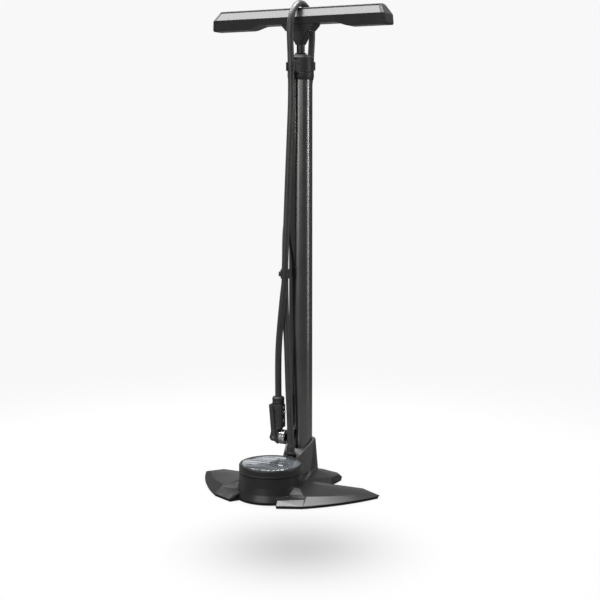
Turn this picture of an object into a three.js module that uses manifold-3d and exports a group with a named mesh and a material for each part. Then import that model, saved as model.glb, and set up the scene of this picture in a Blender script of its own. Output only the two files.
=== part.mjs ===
// A floor pump for bicycle tyres: base with foot wings and gauge, barrel, piston, handle, hose and pump head.
// Millimetres, +Z up. X runs along the handle, the gauge is on the -Y side and the floor is z = 0.
import * as THREE from 'three';
import { ConvexGeometry } from 'three/addons/geometries/ConvexGeometry.js';
import { mergeVertices } from 'three/addons/utils/BufferGeometryUtils.js';
import Module from 'manifold-3d';

const wasm = await Module();
wasm.setup();

// ---------------------------------------------------------------- driving dimensions
// Until the last lines everything is measured from the barrel's axis, which is x = 0 and y = 0.
const gap = 0.3; // clearance between neighbouring pieces
const fine = 36; // sides of the large round pieces
const middle = 20; // sides of the middle-sized ones
const coarse = 12; // sides of the small ones

const underside = 3.2; // the base casting's lower face
const padTop = 3.0;
const socketFloor = 20;
const towerTop = 63;

const barrelRadius = 16.85;
const barrelBore = 15.25;
const barrelBottom = socketFloor + gap;
const barrelTop = 607;

const capRadius = 18.9;
const capBottom = 582.3;
const capTop = 617.8;

const rodRadius = 5.85;
const rodBore = 4.6;
const rodBottom = 34.2;
const rodTop = 649;
const pistonBottom = 39.6;
const pistonTop = 57;

const handleHalf = 137.8; // half of the handle's length
const handleTop = 683.5;
const gripBottom = 654.7;
const waistBottom = 660.5; // the underside of the handle's raised middle stretch
const capLength = 5;

const gaugeY = -90.6;
const gaugeRadius = 45.1;
const podTop = 35;
const bezelTop = 48;

const hoseRadius = 4.7;
const portY = -32; // the hose leaves the tower here
const portTop = 46;
const rearHoseY = 31.5;
const frontHoseY = -30.2;
const loopRear = 35.4; // the widest places of the hose's loop over the handle
const loopFront = -32.6;
const clipOuter = 6.9;
const clipHeight = 11.8;
const clipLow = { front: 594, rear: 597.6 };
const clipMouth = THREE.MathUtils.degToRad(40); // half of the opening of a hose clip

const chuck = new THREE.Vector3(-20.3, -31.2, 70.5); // where the pump head's axis meets its nozzle's axis
const nozzleMouth = -6.6;
const nozzleBack = -16.2;
const leverPivot = new THREE.Vector3(-23.9, chuck.y, chuck.z);

// ---------------------------------------------------------------- shapes
function toSolid(geometry) {
  const bare = geometry.clone();
  bare.deleteAttribute('normal');
  bare.deleteAttribute('uv');
  const merged = mergeVertices(bare, 1e-4);
  const index = merged.index.array;
  const kept = [];
  for (let i = 0; i < index.length; i += 3) {
    const [a, b, c] = [index[i], index[i + 1], index[i + 2]];
    if (a !== b && b !== c && c !== a) kept.push(a, b, c);
  }
  return new wasm.Manifold(
    new wasm.Mesh({
      numProp: 3,
      vertProperties: new Float32Array(merged.attributes.position.array),
      triVerts: new Uint32Array(kept),
    }),
  );
}

function toGeometry(solid) {
  const mesh = solid.getMesh();
  const geometry = new THREE.BufferGeometry();
  geometry.setAttribute('position', new THREE.BufferAttribute(new Float32Array(mesh.vertProperties), 3));
  geometry.setIndex(new THREE.BufferAttribute(new Uint32Array(mesh.triVerts), 1));
  geometry.computeVertexNormals();
  return geometry;
}

function join(...geometries) {
  return toGeometry(geometries.map(toSolid).reduce((whole, next) => whole.add(next)));
}

function cut(geometry, ...tools) {
  return toGeometry(tools.map(toSolid).reduce((rest, tool) => rest.subtract(tool), toSolid(geometry)));
}

function common(first, second) {
  return toGeometry(toSolid(first).intersect(toSolid(second)));
}

/** A closed profile of [radius, height] points turned about Z. */
function turned(profile, sides = middle) {
  const points = profile.map(([radius, height]) => new THREE.Vector2(radius, height));
  return new THREE.LatheGeometry(points, sides).rotateX(Math.PI / 2);
}

function tube(inner, outer, low, high, sides = middle) {
  return turned([[inner, low], [outer, low], [outer, high], [inner, high], [inner, low]], sides);
}

/** A round bar between two points. */
function bar(radius, start, end, sides = middle) {
  const from = new THREE.Vector3(...start);
  const to = new THREE.Vector3(...end);
  const along = to.clone().sub(from);
  const turn = new THREE.Quaternion().setFromUnitVectors(new THREE.Vector3(0, 1, 0), along.clone().normalize());
  return new THREE.CylinderGeometry(radius, radius, along.length(), sides)
    .applyQuaternion(turn)
    .translate(...from.add(to).multiplyScalar(0.5));
}

function outline(points) {
  return new THREE.Shape(points.map(([x, y]) => new THREE.Vector2(x, y)));
}

/** A flat outline in X and Y made into a plate between two heights. */
function plate(points, low, high) {
  const shape = points instanceof THREE.Shape ? points : outline(points);
  return new THREE.ExtrudeGeometry(shape, { depth: high - low, bevelEnabled: false, curveSegments: 8 })
    .translate(0, 0, low);
}

/** An outline in X and Z made into a slab between two places along Y. */
function slab(points, front, back) {
  return plate(points, -back, -front).rotateX(Math.PI / 2);
}

function block(low, high) {
  const size = high.map((value, i) => value - low[i]);
  return new THREE.BoxGeometry(...size).translate(...low.map((value, i) => value + size[i] / 2));
}

/** The corners of a regular polygon that stands for a circle. */
function circle(radius, x, y, sides) {
  return [...Array(sides).keys()].map((side) => {
    const angle = (side / sides) * Math.PI * 2;
    return [x + radius * Math.cos(angle), y + radius * Math.sin(angle)];
  });
}

function hull(points) {
  return new ConvexGeometry(points.map((point) => new THREE.Vector3(...point)));
}

/** Points and their mirror images across the YZ plane. */
function bothSides(points) {
  return points.flatMap(([x, ...rest]) => [[x, ...rest], [-x, ...rest]]);
}

function mirrored(points) {
  return points.map(([x, ...rest]) => [-x, ...rest]);
}

// ---------------------------------------------------------------- materials
function finish(color, roughness, metalness = 0, extra = {}) {
  return new THREE.MeshStandardMaterial({ color, roughness, metalness, ...extra });
}

const finishes = {
  casting: finish(0x2b2b2d, 0.5),
  anodised: finish(0x3c3c3e, 0.35, 0.8),
  moulding: finish(0x262628, 0.55),
  handle: finish(0x36363a, 0.3, 0.2),
  grip: finish(0x29292b, 0.75),
  rubber: finish(0x161616, 0.85),
  hose: finish(0x202022, 0.6),
  steel: finish(0x8d8f92, 0.3, 1),
  bright: finish(0xc9cacc, 0.18, 1),
  brass: finish(0xb08d4a, 0.35, 1),
  dial: finish(0xd9d9d6, 0.6),
  needle: finish(0xb8312a, 0.45),
  glass: finish(0xffffff, 0.05, 0, { transparent: true, opacity: 0.3 }),
};

function add(group, name, geometry, material) {
  const mesh = new THREE.Mesh(geometry, material);
  mesh.name = name;
  group.add(mesh);
  return mesh;
}

// ---------------------------------------------------------------- base
// Half outline of the foot print, from the nose round to the tail, on the +X side.
const nose = [33, -144.2];
const shoulder = [70, -129];
const wingTip = [141, -34.8];
const wingHeel = [116, -25.5];
const notch = [59.5, -58.9];
const tailFront = [53.7, -7.3];
const tailSide = [55, 26];
const tailCorner = [46.5, 34.8];
const rimTop = underside + 1;

const footScrews = { nose: [0, -128], right: [92, -63], left: [-92, -63], rear: [0, 27.5] };

/** A convex piece of the base: its foot print, a low vertical rim round it, and the points of its upper side. */
function mound(footPrint, upper) {
  const rim = footPrint.flatMap(([x, y]) => [[x, y, underside], [x, y, rimTop]]);
  return hull([...rim, ...upper]);
}

function wing(side) {
  const footPrint = [[24, -112], shoulder, wingTip, wingHeel, notch, [24, -60]];
  const upper = [
    [66, -109.2, 12.4], [130.6, -38, 7.6], [113.4, -29.6, 10],
    [58.5, -62, 17], [24, -64, 20.5], [24, -104, 17.5],
  ];
  return side > 0 ? mound(footPrint, upper) : mound(mirrored(footPrint), mirrored(upper));
}

function noseMound() {
  const upper = [[31, -133.5, 9.4], [63, -114.6, 10.6], [40, -62, 17]];
  return mound(bothSides([nose, shoulder, [40, -60]]), bothSides(upper));
}

function tail() {
  const upper = [[50.5, -4, 11], [51.6, 24.6, 9.4], [44.6, 32, 9.2], [20, 32.6, 11.8], [24, -48, 17], [20, 4, 19]];
  return mound(bothSides([tailFront, tailSide, tailCorner, [30, -56]]), bothSides(upper));
}

/** The barrel's socket, flat on top behind the barrel and sloping down to the hose port in front of it. */
function tower() {
  const rear = [0, 1, 2, 3, 4].map((step) => {
    const angle = (step / 4) * Math.PI;
    return [22 * Math.cos(angle), 22 * Math.sin(angle), towerTop];
  });
  const slope = bothSides([[20, -2.9, 60.6], [17.4, -11.6, 54.6], [11.6, -31.9, 42.4], [9, -41, 35]]);
  const foot = bothSides([[26, 0, 8], [22, 16, 8], [9, 26, 8], [25, -24, 8], [13, -50, 8]]);
  return hull([...rear, ...slope, ...foot]);
}

function gusset(side) {
  const points = [
    [20, 5, 27], [24, 4, 26], [29, -46, 15], [34, -46, 14],
    [18, 8, 5], [28, 8, 5], [28, -48, 5], [36, -48, 5],
  ];
  return hull(side > 0 ? points : mirrored(points));
}

function baseCasting() {
  const pod = bar(gaugeRadius - 0.5, [0, gaugeY, underside], [0, gaugeY, podTop], fine);
  const body = join(noseMound(), wing(1), wing(-1), tail(), tower(), gusset(1), gusset(-1), pod);
  const airway = 12;
  const hollows = [
    bar(barrelRadius + gap, [0, 0, socketFloor], [0, 0, 90], fine),
    bar(7.5, [0, 0, 9], [0, 0, socketFloor + 1], middle),
    bar(2.5, [0, -2, airway], [0, gaugeY, airway], 8),
    bar(2.5, [0, portY, airway], [0, portY, 40], 8),
    bar(5.3, [0, portY, 28], [0, portY, 60], middle),
    bar(7.8, [0, portY, 42], [0, portY, 70], middle),
    bar(40.5, [0, gaugeY, 19], [0, gaugeY, podTop + 5], fine),
    bar(3.5, [0, gaugeY, airway], [0, gaugeY, 20], coarse),
  ];
  const screwHoles = Object.values(footScrews).map(([x, y]) => bar(1.9, [x, y, 0], [x, y, 8.4], coarse));
  return cut(body, ...hollows, ...screwHoles);
}

const padOutlines = {
  nose: [[32.4, -143.2], [46.4, -137.5], [44, -114], [-44, -114], [-46.4, -137.5], [-32.4, -143.2]],
  right: [[70, -127.4], [139.2, -35.3], [116.2, -26.7], [62, -58.6], [52, -70], [52, -104]],
  left: [[-52, -104], [-52, -70], [-62, -58.6], [-116.2, -26.7], [-139.2, -35.3], [-70, -127.4]],
  rear: [[52.7, -4], [53.9, 25.7], [46.1, 33.8], [-46.1, 33.8], [-53.9, 25.7], [-52.7, -4], [-30, 10], [30, 10]],
};

function footScrew() {
  return turned([[0, 0.9], [3.8, 0.9], [3.8, 2.9], [1.6, 2.9], [1.6, 8], [0, 8]], coarse);
}

function base() {
  const group = new THREE.Group();
  add(group, 'base_casting', baseCasting(), finishes.casting);
  for (const [place, points] of Object.entries(padOutlines)) {
    const [x, y] = footScrews[place];
    const pad = cut(plate(points, 0, padTop), bar(4.1, [x, y, -1], [x, y, padTop + 1], coarse));
    add(group, `foot_pad_${place}`, pad, finishes.rubber);
    add(group, `foot_screw_${place}`, footScrew().translate(x, y, 0), finishes.steel);
  }
  return group;
}

// ---------------------------------------------------------------- barrel and valve
function barrelFoot() {
  return turned([
    [2.5, 20.4], [14.9, 20.4], [14.9, 23.2], [12.6, 23.2], [12.6, 26.4],
    [14.9, 26.4], [14.9, 30], [2.5, 30], [2.5, 20.4],
  ]);
}

/** The check valve's disc, which the spring under it presses up against the air hole of the barrel's foot. */
function valvePoppet() {
  return turned([[0, 13], [1.6, 13], [1.6, 17.6], [5.2, 17.6], [5.2, 19.4], [3.4, 20.2], [0, 20.2]], coarse);
}

class Helix extends THREE.Curve {
  constructor(radius, low, high, turns) {
    super();
    Object.assign(this, { radius, low, high, turns });
  }

  getPoint(share) {
    const angle = share * this.turns * Math.PI * 2;
    const height = THREE.MathUtils.lerp(this.low, this.high, share);
    return new THREE.Vector3(this.radius * Math.cos(angle), this.radius * Math.sin(angle), height);
  }
}

function roundSection(radius, sides) {
  return outline(circle(radius, 0, 0, sides));
}

function along(curve, section, steps) {
  return new THREE.ExtrudeGeometry(section, { extrudePath: curve, steps, bevelEnabled: false });
}

function barrel() {
  const group = new THREE.Group();
  add(group, 'barrel_tube', tube(barrelBore, barrelRadius, barrelBottom, barrelTop, fine), finishes.anodised);
  add(group, 'barrel_foot', barrelFoot(), finishes.moulding);
  add(group, 'barrel_foot_ring', tube(12.9, 15.1, 23.5, 26.1), finishes.rubber);
  add(group, 'piston_buffer', tube(5, 13.5, 30.3, 33.4), finishes.rubber);
  add(group, 'check_valve_poppet', valvePoppet(), finishes.brass);
  const spring = along(new Helix(3.4, 9.9, 16.7, 3), roundSection(0.5, 6), 36);
  add(group, 'check_valve_spring', spring, finishes.steel);
  return group;
}

// ---------------------------------------------------------------- top cap and hose clips
function cap() {
  return turned([
    [barrelRadius + gap, capBottom], [17.7, capBottom], [capRadius, capBottom + 4.4], [capRadius, capTop - 2],
    [capRadius - 1.6, capTop], [8.6, capTop], [8.6, barrelTop + gap], [barrelRadius + gap, barrelTop + gap],
    [barrelRadius + gap, capBottom],
  ], fine);
}

function rodBushing() {
  const inner = rodRadius + 0.08;
  return turned([
    [inner, 599], [15, 599], [15, 606.8], [8.3, 606.8], [8.3, capTop - 0.2], [inner, capTop - 0.2], [inner, 599],
  ]);
}

/** A C-shaped hose clip with its mouth facing outwards, and the web that joins it to the cap. */
function hoseClip(hoseY, low) {
  const high = low + clipHeight;
  const out = Math.sign(hoseY);
  const inner = hoseRadius + gap;
  const arc = (radius, steps) => [...Array(steps + 1).keys()].map((step) => {
    const angle = clipMouth + (step / steps) * 2 * (Math.PI - clipMouth);
    return [radius * Math.sin(angle), hoseY + out * radius * Math.cos(angle)];
  });
  const jaw = plate([...arc(clipOuter, 20), ...arc(inner, 20).reverse()], low, high);
  const seat = capRadius + gap;
  const far = Math.abs(hoseY) - inner - 0.6;
  const web = hull(bothSides([
    [8.6, out * (seat - 4), low - 5], [8.6, out * (seat - 4), high + 7],
    [3.6, out * far, low + 1], [3.6, out * far, high + 3],
  ]));
  const capSide = bar(seat, [0, 0, low - 20], [0, 0, high + 20], fine);
  const hoseWay = bar(inner, [0, hoseY, low - 20], [0, hoseY, high + 20], 20);
  return cut(join(jaw, web), capSide, hoseWay);
}

function topCap() {
  const group = new THREE.Group();
  add(group, 'top_cap', cap(), finishes.moulding);
  add(group, 'rod_bushing', rodBushing(), finishes.moulding);
  add(group, 'rod_wiper', tube(rodRadius + 0.1, 8.2, capTop + 0.1, capTop + 2.4), finishes.rubber);
  add(group, 'hose_clip_front', hoseClip(frontHoseY, clipLow.front), finishes.moulding);
  add(group, 'hose_clip_rear', hoseClip(rearHoseY, clipLow.rear), finishes.moulding);
  return group;
}

// ---------------------------------------------------------------- piston, rod and handle
function pistonHead() {
  const bore = rodRadius + 0.15;
  return turned([
    [bore, pistonBottom], [14.6, pistonBottom], [14.6, 44.4], [12.4, 44.4], [12.4, 48.4],
    [14.6, 48.4], [14.6, pistonTop], [bore, pistonTop], [bore, pistonBottom],
  ]);
}

function rodNut() {
  return cut(bar(9, [0, 0, 34.4], [0, 0, 39.2], 6), bar(rodRadius + 0.15, [0, 0, 30], [0, 0, 45]));
}

const hubBolts = [-15, 15];

/** The funnel under the handle: it spreads from the rod to a saddle that the handle is bolted to. */
function handleHub() {
  const saddle = hull(bothSides([
    [25.5, -11.4, waistBottom - gap], [25.5, 11.4, waistBottom - gap],
    [24.8, -11, 658], [24.8, 11, 658], [19.6, -9.6, 651], [19.6, 9.6, 651],
  ]));
  const throat = [...Array(coarse).keys()].map((side) => {
    const angle = ((side + 0.5) / coarse) * Math.PI * 2;
    return [7.8 * Math.cos(angle), 7.8 * Math.sin(angle), 629.6];
  });
  const funnel = hull([...bothSides([[17, -9.6, 654], [17, 9.6, 654]]), ...throat]);
  const holes = hubBolts.flatMap((x) => [
    bar(2.3, [x, 0, 640], [x, 0, 665], coarse),
    bar(4.1, [x, 0, 640], [x, 0, 654.2], coarse),
  ]);
  const rodWay = bar(rodRadius + gap, [0, 0, 620], [0, 0, rodTop + gap]);
  return cut(join(saddle, funnel), rodWay, ...holes);
}

/** How far the handle reaches at a height: its ends lean inwards in a shallow curve. */
function handleEnd(z) {
  return handleHalf - 0.0148 * Math.max(0, z - 656) ** 2;
}

/** The curve of the handle's right end, moved along X, from bottom to top. */
function endCurve(shift, low, high) {
  return [...Array(7).keys()].map((step) => {
    const z = THREE.MathUtils.lerp(low, high, step / 6);
    return [handleEnd(z) + shift, z];
  });
}

/** The handle seen from the front: curved ends, a raised waist in the middle and lower grips beside it. */
function handleElevation() {
  const waist = [57, 81];
  const half = [];
  for (let step = 0; step <= 6; step += 1) {
    const share = step / 6;
    const x = THREE.MathUtils.lerp(waist[0], waist[1], share);
    half.push([x, THREE.MathUtils.lerp(waistBottom, gripBottom, THREE.MathUtils.smoothstep(share, 0, 1))]);
  }
  half.push([handleHalf - 1.2, gripBottom], ...endCurve(0, gripBottom + 1.2, handleTop));
  return [...half, ...mirrored(half).reverse()];
}

/** The handle's section, in Y and Z: a flat slanting face above a sharp ridge on the front and on the back. */
function handleSection() {
  const front = [
    [4.5, handleTop], [8.4, 682.8], [9.1, 680.4], [16, 669.9], [15.4, 667.8], [12.4, 656.2], [10.8, gripBottom],
  ];
  return [...front, ...mirrored(front).reverse()];
}

function handleBody() {
  const alongX = new THREE.Matrix4().makeBasis(
    new THREE.Vector3(0, 1, 0), new THREE.Vector3(0, 0, 1), new THREE.Vector3(1, 0, 0),
  );
  const sections = plate(handleSection(), -handleHalf - 5, handleHalf + 5).applyMatrix4(alongX);
  return common(slab(handleElevation(), -30, 30), sections);
}

function handle() {
  const group = new THREE.Group();
  const body = handleBody();
  const [low, high] = [gripBottom - 5, handleTop + 5];
  const joint = endCurve(-capLength, low, high);
  const middlePart = [...joint, ...mirrored(joint).reverse()];
  const endPart = [[170, low], [170, high], ...endCurve(gap - capLength, low, high).reverse()];
  const boltHoles = hubBolts.map((x) => bar(2.3, [x, 0, 649], [x, 0, 676], coarse));
  add(group, 'handle_bar', cut(common(body, slab(middlePart, -30, 30)), ...boltHoles), finishes.handle);
  add(group, 'handle_end_right', common(body, slab(endPart, -30, 30)), finishes.grip);
  add(group, 'handle_end_left', common(body, slab(mirrored(endPart).reverse(), -30, 30)), finishes.grip);
  add(group, 'handle_hub', handleHub(), finishes.moulding);
  hubBolts.forEach((x, i) => {
    const bolt = turned([[0, 650.5], [3.7, 650.5], [3.7, 654], [2, 654], [2, 675.5], [0, 675.5]], coarse);
    add(group, `handle_bolt_${i + 1}`, bolt.translate(x, 0, 0), finishes.steel);
  });
  add(group, 'piston_rod', tube(rodBore, rodRadius, rodBottom, rodTop), finishes.steel);
  add(group, 'rod_nut', rodNut(), finishes.steel);
  add(group, 'rod_collar', tube(rodRadius + 0.15, 9, 57.3, 60.3), finishes.steel);
  add(group, 'piston_head', pistonHead(), finishes.moulding);
  add(group, 'piston_seal', tube(12.7, 15.12, 44.7, 48.1), finishes.rubber);
  return group;
}

// ---------------------------------------------------------------- gauge
function bezel() {
  return turned([
    [40.4, podTop + gap], [44.6, podTop + gap], [gaugeRadius, podTop + 1.2], [gaugeRadius, 45.4],
    [44, 47.4], [42.4, bezelTop], [39.8, bezelTop], [38.6, 47.2], [38.6, 46.1], [40.4, 46.1],
    [40.4, podTop + gap],
  ], fine);
}

function lens() {
  return turned([
    [0, 47.3], [20, 46.2], [36, 43.8], [39.9, 43.8], [39.9, 45.8], [37.8, 45.8], [30, 47.6], [16, 49.4], [0, 50],
  ], fine);
}

function gaugeMovement() {
  const stem = bar(3.2, [0, 0, 13.5], [0, 0, 23], coarse);
  const frame = block([-15, -5, 21.2], [15, 5, 29]);
  const spindleHole = bar(1.3, [0, 0, 24], [0, 0, 35], 8);
  const screwHoles = [-11, 11].map((x) => bar(1.1, [x, 0, 24], [x, 0, 35], 8));
  return cut(join(stem, frame), spindleHole, ...screwHoles);
}

class ArcCurve extends THREE.Curve {
  constructor(radius, start, end, height) {
    super();
    Object.assign(this, { radius, start, end, height });
  }

  getPoint(share) {
    const angle = THREE.MathUtils.lerp(this.start, this.end, share);
    return new THREE.Vector3(this.radius * Math.cos(angle), this.radius * Math.sin(angle), this.height);
  }
}

function gaugeNeedle() {
  const pointer = plate([[1.6, -9], [1.1, 0], [0.4, 29], [-0.4, 29], [-1.1, 0], [-1.6, -9]], 34.2, 34.9);
  const hub = turned([[0, 25], [1, 25], [1, 33.6], [4, 33.6], [4, 35.4], [3, 36.2], [0, 36.2]], coarse);
  return join(pointer, hub).rotateZ(THREE.MathUtils.degToRad(135));
}

function gauge() {
  const group = new THREE.Group();
  group.position.y = gaugeY;
  const cup = [
    [4.2, 19.3], [40.1, 19.3], [40.1, 33.9], [38.8, 33.9], [38.8, 20.7], [4.2, 20.7], [4.2, 19.3],
  ];
  const dialHoles = [bar(1.9, [0, 0, 25], [0, 0, 40], coarse)];
  dialHoles.push(...[-11, 11].map((x) => bar(1.1, [x, 0, 25], [x, 0, 40], 8)));
  add(group, 'gauge_cup', turned(cup, fine), finishes.moulding);
  add(group, 'gauge_movement', gaugeMovement(), finishes.brass);
  const tubeArc = new ArcCurve(26, THREE.MathUtils.degToRad(-60), THREE.MathUtils.degToRad(215), 25);
  add(group, 'bourdon_tube', along(tubeArc, roundSection(2.4, 8), 22), finishes.brass);
  add(group, 'gauge_dial', cut(bar(38.5, [0, 0, 31], [0, 0, 31.9], fine), ...dialHoles), finishes.dial);
  [-11, 11].forEach((x, i) => {
    const screw = turned([[0, 25], [0.9, 25], [0.9, 32.1], [2, 32.1], [2, 32.9], [0, 32.9]], 8);
    add(group, `dial_screw_${i + 1}`, screw.translate(x, 0, 0), finishes.steel);
  });
  add(group, 'gauge_needle', gaugeNeedle(), finishes.needle);
  add(group, 'lens_spacer', tube(38.9, 40.1, podTop + gap, 43.5, fine), finishes.moulding);
  add(group, 'gauge_lens', lens(), finishes.glass);
  add(group, 'gauge_bezel', bezel(), finishes.moulding);
  return group;
}

// ---------------------------------------------------------------- hose
// The route, from the port in the base up to the rear clip, over the handle, and down to the pump head.
const hoseJoint = 601; // where the stretches of hose meet, inside the clips
const riserRoute = [
  [0, portY, 46.3], [-0.2, -32.2, 74], [-1.6, -31.9, 108], [-3.8, -30.7, 140], [-7.1, -28.2, 198],
  [-10.8, -25.8, 247], [-12.3, -24.8, 286], [-12.4, -24.7, 312], [-14.4, -20.6, 332], [-18.4, -12.4, 353],
  [-21.6, -4, 372], [-21.9, 5.5, 392], [-18.6, 13.8, 413], [-13, 21.4, 437], [-8.6, 26.8, 469],
  [-5.2, 29.8, 511], [-3.4, 30.4, 557], [-2, 30.8, 575], [-0.6, 31.2, 589], [0, rearHoseY, hoseJoint],
];
const dropRoute = [
  [0, frontHoseY, hoseJoint], [0, -29, 575], [0, -29.6, 549], [-0.4, -31.2, 519], [-3.2, -32.4, 445],
  [-5.7, -33.2, 376], [-6.8, -33.9, 341], [-7.6, -34.2, 317], [-7.8, -34.2, 300], [-11.2, -35, 268], [-16.7, -34.5, 217],
  [-18.9, -33.2, 192], [-20.1, -31.8, 164], [chuck.x, chuck.y, 143], [chuck.x, chuck.y, 120.2],
];

/** Half an ellipse over the handle, a little wider than the clips that its two ends come down to. */
function loopRoute() {
  const middleY = (loopRear + loopFront) / 2;
  const halfWidth = (loopRear - loopFront) / 2;
  const [shoulderZ, crestZ] = [651, 690.2];
  const arch = [...Array(9).keys()].map((step) => {
    const angle = (step / 8) * Math.PI;
    return [0, middleY + halfWidth * Math.cos(angle), shoulderZ + (crestZ - shoulderZ) * Math.sin(angle)];
  });
  return [
    [0, rearHoseY, hoseJoint + gap], [0, 32.2, 617], [0, 34.3, 634], ...arch,
    [0, -32, 634], [0, -30.7, 617], [0, frontHoseY, hoseJoint + gap],
  ];
}

function hoseTube(route, steps) {
  const curve = new THREE.CatmullRomCurve3(route.map((point) => new THREE.Vector3(...point)), false, 'centripetal');
  return along(curve, roundSection(hoseRadius, 10), steps);
}

function portFitting() {
  const hex = bar(7.2, [0, portY, 42.4], [0, portY, portTop], 6);
  const thread = bar(5, [0, portY, 29], [0, portY, 43], middle);
  return cut(join(hex, thread), bar(1.8, [0, portY, 25], [0, portY, 50], 8));
}

/** The clip that ties the two runs of hose together half way up: two eyes, one behind the other, and a lug. */
function midClip() {
  const [riser, drop] = [[-12.4, -24.7], [-7.65, -34.2]];
  const [low, high] = [301.2, 313.7];
  const eye = ([x, y]) => circle(hoseRadius + 1.7, x, y, 20);
  const body = hull([low, high].flatMap((z) => [...eye(riser), ...eye(drop)].map(([x, y]) => [x, y, z])));
  const lug = block([-15, -38.2, 305.2], [-9, -34.6, 309.4]);
  const ways = [riser, drop].map(([x, y]) => bar(hoseRadius + 0.6, [x, y, low - 5], [x, y, high + 5], 20));
  return cut(join(body, lug), ...ways);
}

function hose() {
  const group = new THREE.Group();
  const ferrule = tube(hoseRadius + gap, 6.2, portTop + gap, 58, 20).translate(0, portY, 0);
  add(group, 'hose_port_fitting', portFitting(), finishes.brass);
  add(group, 'hose_ferrule', ferrule, finishes.moulding);
  add(group, 'hose_riser', hoseTube(riserRoute, 30), finishes.hose);
  add(group, 'hose_loop', hoseTube(loopRoute(), 18), finishes.hose);
  add(group, 'hose_drop', hoseTube(dropRoute, 20), finishes.hose);
  add(group, 'hose_mid_clip', midClip(), finishes.moulding);
  return group;
}

// ---------------------------------------------------------------- pump head
// Measured from the point where the head's upright axis meets the nozzle's axis.
const pivotX = leverPivot.x - chuck.x;
const bodyDepth = 8.3; // half of the body's depth, front to back
const cheekInner = bodyDepth + gap;
const cheekOuter = 10.6;

/** Turns a piece made about Z so that it lies along X. */
function alongX(geometry, start) {
  return geometry.rotateY(Math.PI / 2).translate(start, 0, 0);
}

const bleedHeight = 35.5;
const chuckScrews = [43.1, 23.1];

function chuckBody() {
  const column = hull([
    [8.6, 14], [8.2, 46], [6.6, 48.2], [-5.2, 48.2], [-6.6, 45], [-3.8, 9], [3.6, 11],
  ].flatMap(([x, z]) => [
    [x, -bodyDepth + (x > 0 ? 1.6 : 0), z], [x, bodyDepth - (x > 0 ? 1.6 : 0), z],
    [x > 0 ? x - 1.8 : x, -bodyDepth, z], [x > 0 ? x - 1.8 : x, bodyDepth, z],
  ]));
  const heel = slab(circle(5, pivotX, 0, 20), -bodyDepth, bodyDepth);
  const head = slab([[-4.6, -4.9], [2.8, -9.6], [2.8, 11.5], [-3.6, 11]], -bodyDepth, bodyDepth);
  const flange = bar(10.2, [2.6, 0, 0], [3.9, 0, 0], middle);
  const guard = alongX(tube(3.5, 4.6, -0.6, 1, 16), 8.4).translate(0, 0, bleedHeight);
  const hollows = [
    bar(5.6, [-1.6, 0, 0], [5, 0, 0], middle),
    bar(1.8, [0, 0, 0], [0, 0, 60], 8),
    bar(2.9, [3, 0, bleedHeight], [12, 0, bleedHeight], 16),
    bar(1.75, [pivotX, -12, 0], [pivotX, 12, 0], coarse),
    ...chuckScrews.map((z) => bar(1.1, [3.6, 0, z], [12, 0, z], 8)),
  ];
  return cut(join(column, heel, head, flange, guard), ...hollows);
}

/** The locking lever: a channel that lies against the body, its cheeks turning on the pin. */
function chuckLever() {
  const web = slab([[-6.6, 9], [-4.8, 9], [-7.5, 46.8], [-8.4, 48.2], [-9.9, 47.2]], -cheekOuter, cheekOuter);
  const cheek = [[-9.9, 47.2], [-8.4, 48.2], [-4.6, 46], [-2.4, 36], [-1, 14], [1.2, 2], [-8.4, 1], [-6.6, 9]];
  const disc = circle(5.3, pivotX, 0, 20);
  const cheeks = [[-cheekOuter, -cheekInner], [cheekInner, cheekOuter]].flatMap(([front, back]) => [
    slab(cheek, front, back),
    slab(disc, front, back),
  ]);
  return cut(join(web, ...cheeks), bar(1.75, [pivotX, -12, 0], [pivotX, 12, 0], coarse));
}

function nozzleRing() {
  return turned([
    [7.6, 0], [9.8, 0], [10.6, 0.8], [10.6, 3], [9.9, 3.6], [10.6, 4.2], [10.6, 8.4], [9.6, 9.6],
    [5.4, 9.6], [5.4, 8.9], [7.6, 8.9], [7.6, 0],
  ]);
}

function pumpHead() {
  const group = new THREE.Group();
  group.position.copy(chuck);
  const bore = hoseRadius + gap;
  const collar = [[bore, 48.5], [8.2, 48.5], [8.8, 49.5], [8.8, 56.7], [7.2, 58.7], [bore, 58.7], [bore, 48.5]];
  const ringStart = nozzleBack - chuck.x;
  add(group, 'chuck_collar', turned(collar), finishes.moulding);
  add(group, 'chuck_body', chuckBody(), finishes.moulding);
  add(group, 'chuck_lever', chuckLever(), finishes.moulding);
  add(group, 'lever_pin', bar(1.6, [pivotX, -cheekOuter, 0], [pivotX, cheekOuter, 0], coarse), finishes.steel);
  add(group, 'nozzle_ring', alongX(nozzleRing(), ringStart), finishes.bright);
  add(group, 'nozzle_gland', alongX(tube(4.1, 7.3, 0.3, 8.6, 20), ringStart), finishes.rubber);
  add(group, 'chuck_plunger', alongX(tube(1.5, 5.3, 0, 4, 20), -1.3), finishes.moulding);
  add(group, 'bleed_button', bar(2.6, [4.4, 0, bleedHeight], [10.6, 0, bleedHeight], 16), finishes.bright);
  chuckScrews.forEach((z, i) => {
    const screw = turned([[0, 0], [0.9, 0], [0.9, 4.6], [1.8, 4.6], [1.6, 5.6], [0, 5.6]], coarse);
    add(group, `chuck_screw_${i + 1}`, alongX(screw, 4.2).translate(0, 0, z), finishes.steel);
  });
  return group;
}

// ---------------------------------------------------------------- the whole pump
const pump = new THREE.Group();
pump.add(base(), barrel(), topCap(), handle(), gauge(), hose(), pumpHead());

// The origin moves to the middle of the pump's extent in Y, from the nose of the base to the hose's loop.
const extent = new THREE.Box3().setFromObject(pump);
pump.position.y = -(extent.min.y + extent.max.y) / 2;

export default pump;
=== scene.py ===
"""The looks of the floor pump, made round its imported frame. Blender works in metres, +Z up.

Sizes are given in millimetres from the foot of the barrel's axis, as in the frame's own source,
and at() puts them in the frame.
"""

import math

import bmesh
import bpy
from mathutils import Matrix, Vector


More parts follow.
